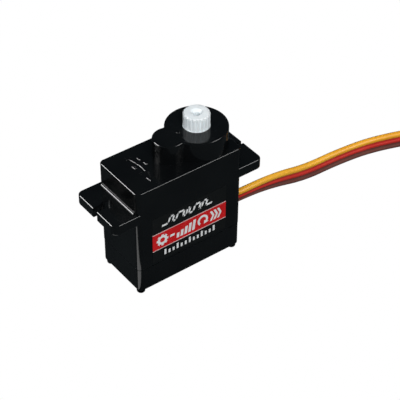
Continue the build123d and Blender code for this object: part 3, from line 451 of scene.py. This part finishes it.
def tail_points():
    """Control points of the inner stretch, which bends in and comes down to the connector."""
    inner = TURN_RADIUS - TURN_PITCH
    centre = around(COIL_CENTRE, inner - TAIL_RADIUS, TAIL_ANGLE, 0)
    step = TAIL_SWEEP / TAIL_POINTS
    points = []
    for k in range(TAIL_POINTS):
        share = (k + 0.5) / TAIL_POINTS
        height = FLOOR_Z + (HOUSING_MIDDLE - FLOOR_Z) * share
        points.append(around(centre, TAIL_RADIUS / cos(step / 2), TAIL_ANGLE - (k + 0.5) * step, height))
    last = TAIL_ANGLE - TAIL_SWEEP
    end = around(centre, TAIL_RADIUS, last, HOUSING_MIDDLE)
    return [*points, end, end + 2.0 * Vector((sin(last), -cos(last), 0))]


def smooth_line(points):
    """The smooth line through a route, as points in metres."""
    curve = bpy.data.curves.new("lead_route", "CURVE")
    curve.dimensions = "3D"
    spline = curve.splines.new("NURBS")
    spline.points.add(len(points) - 1)
    for place, point in zip(spline.points, points):
        place.co = (*(point * MM), 1.0)
    spline.order_u = 3
    spline.use_endpoint_u = True
    holder = bpy.data.objects.new("lead_route", curve)
    mesh = bpy.data.meshes.new_from_object(holder)
    line = [v.co.copy() for v in mesh.vertices]
    bpy.data.meshes.remove(mesh)
    bpy.data.objects.remove(holder)
    return line


def smooth(x):
    """Ease from 0 to 1."""
    x = min(1.0, max(0.0, x))
    return x * x * (3 - 2 * x)


def ribbon_section():
    """Outline of three round conductors side by side: (across, over, conductor number) in mm."""
    radius = LEAD_THICKNESS / 2
    valley = 50.0
    steps = 8
    outline = []
    for number in range(3):
        start = 180.0 if number == 0 else 180.0 - valley
        stop = 0.0 if number == 2 else valley
        for k in range(steps + 1):
            angle = radians(start + (stop - start) * k / steps)
            outline.append(((number - 1) * LEAD_THICKNESS + radius * cos(angle), radius * sin(angle), number))
    below = [(across, -over, number) for across, over, number in reversed(outline[1:-1])]
    return outline + below


def lead_roll(position, total):
    """Angle of the ribbon's width above the level, in degrees, at a distance along it in mm."""
    rising = smooth((position - SLOT_DEPTH) / LEAN_RISE)
    falling = smooth((position - SLOT_DEPTH - LEAN_RISE) / LEAN_FALL)
    angle = UPRIGHT + LEAN * (rising - falling)
    untwisted = smooth((position - total + UNTWIST_LENGTH) / (UNTWIST_LENGTH - FLAT_END))
    return angle * (1 - untwisted)


def make_ribbon(line, name, materials):
    """A three-conductor ribbon along a line, on its edge until it comes to the connector."""
    section = ribbon_section()
    positions = [0.0]
    for before, here in zip(line, line[1:]):
        positions.append(positions[-1] + (here - before).length / MM)
    mesh = bmesh.new()
    rings = []
    for i, point in enumerate(line):
        tangent = (line[min(i + 1, len(line) - 1)] - line[max(i - 1, 0)]).normalized()
        side = Vector((0, 0, 1)).cross(tangent).normalized()
        up = tangent.cross(side).normalized()
        angle = radians(lead_roll(positions[i], positions[-1]))
        across = side * cos(angle) + up * sin(angle)
        over = up * cos(angle) - side * sin(angle)
        rings.append([mesh.verts.new(point + (a * across + o * over) * MM) for a, o, _ in section])
    count = len(section)
    for ring, following in zip(rings, rings[1:]):
        for j in range(count):
            k = (j + 1) % count
            face = mesh.faces.new((ring[j], following[j], following[k], ring[k]))
            face.material_index = section[j][2]
            face.smooth = True
    for end in (rings[0], rings[-1]):
        mesh.faces.new(end).material_index = 1
    bmesh.ops.recalc_face_normals(mesh, faces=mesh.faces)
    data = bpy.data.meshes.new(name)
    mesh.to_mesh(data)
    mesh.free()
    for material in materials:
        data.materials.append(material)
    ribbon = bpy.data.objects.new(name, data)
    bpy.context.scene.collection.objects.link(ribbon)
    return ribbon


lead_line = smooth_line(LEAD_ROUTE + coil_points() + tail_points())
lead = make_ribbon(lead_line, "lead_flat_cable", (WIRE_BROWN, WIRE_RED, WIRE_ORANGE))
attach(lead, BODY)
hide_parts("lead_ribbon", "lead_coil")


# ---------------------------------------------------------------- stage
FLOOR_HALF = 1.5
LIGHT_DISTANCE = 0.5
LIGHT_AIM_HEIGHT = 0.02
CARD_GAP = 1.0


def camera_only(tree, seen, hidden, output_type):
    """Show one shader to the camera and another to every other ray."""
    output = tree.nodes.new(output_type)
    mix = tree.nodes.new("ShaderNodeMixShader")
    path = tree.nodes.new("ShaderNodeLightPath")
    tree.links.new(path.outputs["Is Camera Ray"], mix.inputs["Fac"])
    tree.links.new(hidden, mix.inputs[1])
    tree.links.new(seen, mix.inputs[2])
    tree.links.new(mix.outputs["Shader"], output.inputs["Surface"])


def make_world():
    """White to the camera, dim to everything else, so the gloss reflects a dark studio."""
    world = bpy.data.worlds.new("studio")
    bpy.context.scene.world = world
    world.use_nodes = True
    tree = world.node_tree
    tree.nodes.clear()
    white = tree.nodes.new("ShaderNodeBackground")
    white.inputs["Color"].default_value = (1, 1, 1, 1)
    dim = tree.nodes.new("ShaderNodeBackground")
    dim.inputs["Color"].default_value = (0.022, 0.030, 0.036, 1)
    camera_only(tree, white.outputs["Background"], dim.outputs["Background"], "ShaderNodeOutputWorld")


def make_floor():
    """Floor that is white to the camera and a dark matt table to everything else."""
    size = FLOOR_HALF
    mesh = bpy.data.meshes.new("floor")
    corners = [(-size, -size, 0), (size, -size, 0), (size, size, 0), (-size, size, 0)]
    mesh.from_pydata(corners, [], [(0, 1, 2, 3)])
    floor = bpy.data.objects.new("floor", mesh)
    bpy.context.scene.collection.objects.link(floor)
    material = bpy.data.materials.new("floor")
    material.use_nodes = True
    tree = material.node_tree
    tree.nodes.clear()
    white = tree.nodes.new("ShaderNodeEmission")
    table = tree.nodes.new("ShaderNodeBsdfDiffuse")
    table.inputs["Color"].default_value = (0.05, 0.06, 0.065, 1)
    camera_only(tree, white.outputs["Emission"], table.outputs["BSDF"], "ShaderNodeOutputMaterial")
    mesh.materials.append(material)


def softbox(name, azimuth, elevation, width, height, brightness, gloss):
    """Rectangular light that faces the object, seen only by gloss or only by matt surfaces."""
    data = bpy.data.lights.new(name, "AREA")
    data.shape = "RECTANGLE"
    data.size = width
    data.size_y = height
    data.energy = brightness * pi * width * height
    light = bpy.data.objects.new(name, data)
    bpy.context.scene.collection.objects.link(light)
    a, e = radians(azimuth), radians(elevation)
    aim = Vector((cos(a) * cos(e), sin(a) * cos(e), sin(e)))
    light.location = aim * LIGHT_DISTANCE + Vector((0, 0, LIGHT_AIM_HEIGHT))
    light.rotation_euler = aim.to_track_quat("Z", "Y").to_euler()
    light.visible_camera = False
    light.visible_diffuse = not gloss
    light.visible_glossy = gloss


def table_card(name, corner, azimuth, length, width, brightness):
    """Bright card on the table, seen only in the gloss; it runs out from a corner of the case (mm)."""
    along = Vector((cos(radians(azimuth)), sin(radians(azimuth)), 0))
    aside = Vector((-along.y, along.x, 0))
    data = bpy.data.lights.new(name, "AREA")
    data.shape = "RECTANGLE"
    data.size = length * MM
    data.size_y = width * MM
    data.energy = brightness * pi * data.size * data.size_y
    light = bpy.data.objects.new(name, data)
    bpy.context.scene.collection.objects.link(light)
    light.location = (Vector(corner) + along * (CARD_GAP + length / 2) + aside * width / 2) * MM
    light.rotation_euler = (pi, 0, radians(azimuth))
    light.visible_camera = False
    light.visible_diffuse = False


make_world()
make_floor()
table_card("corner_card", (-11.2, -5.3, 0.5), 168, 20.0, 7.5, 1.5)
softbox("left_strip", 149, 23, 0.34, 0.22, 21.0, True)
softbox("front_right_strip", -56, 27, 0.28, 0.14, 10.0, True)
softbox("key", -112, 42, 0.30, 0.30, 9.0, False)
softbox("overhead", 160, 75, 0.30, 0.30, 3.0, False)

scene = bpy.context.scene
scene.view_settings.view_transform = "Standard"
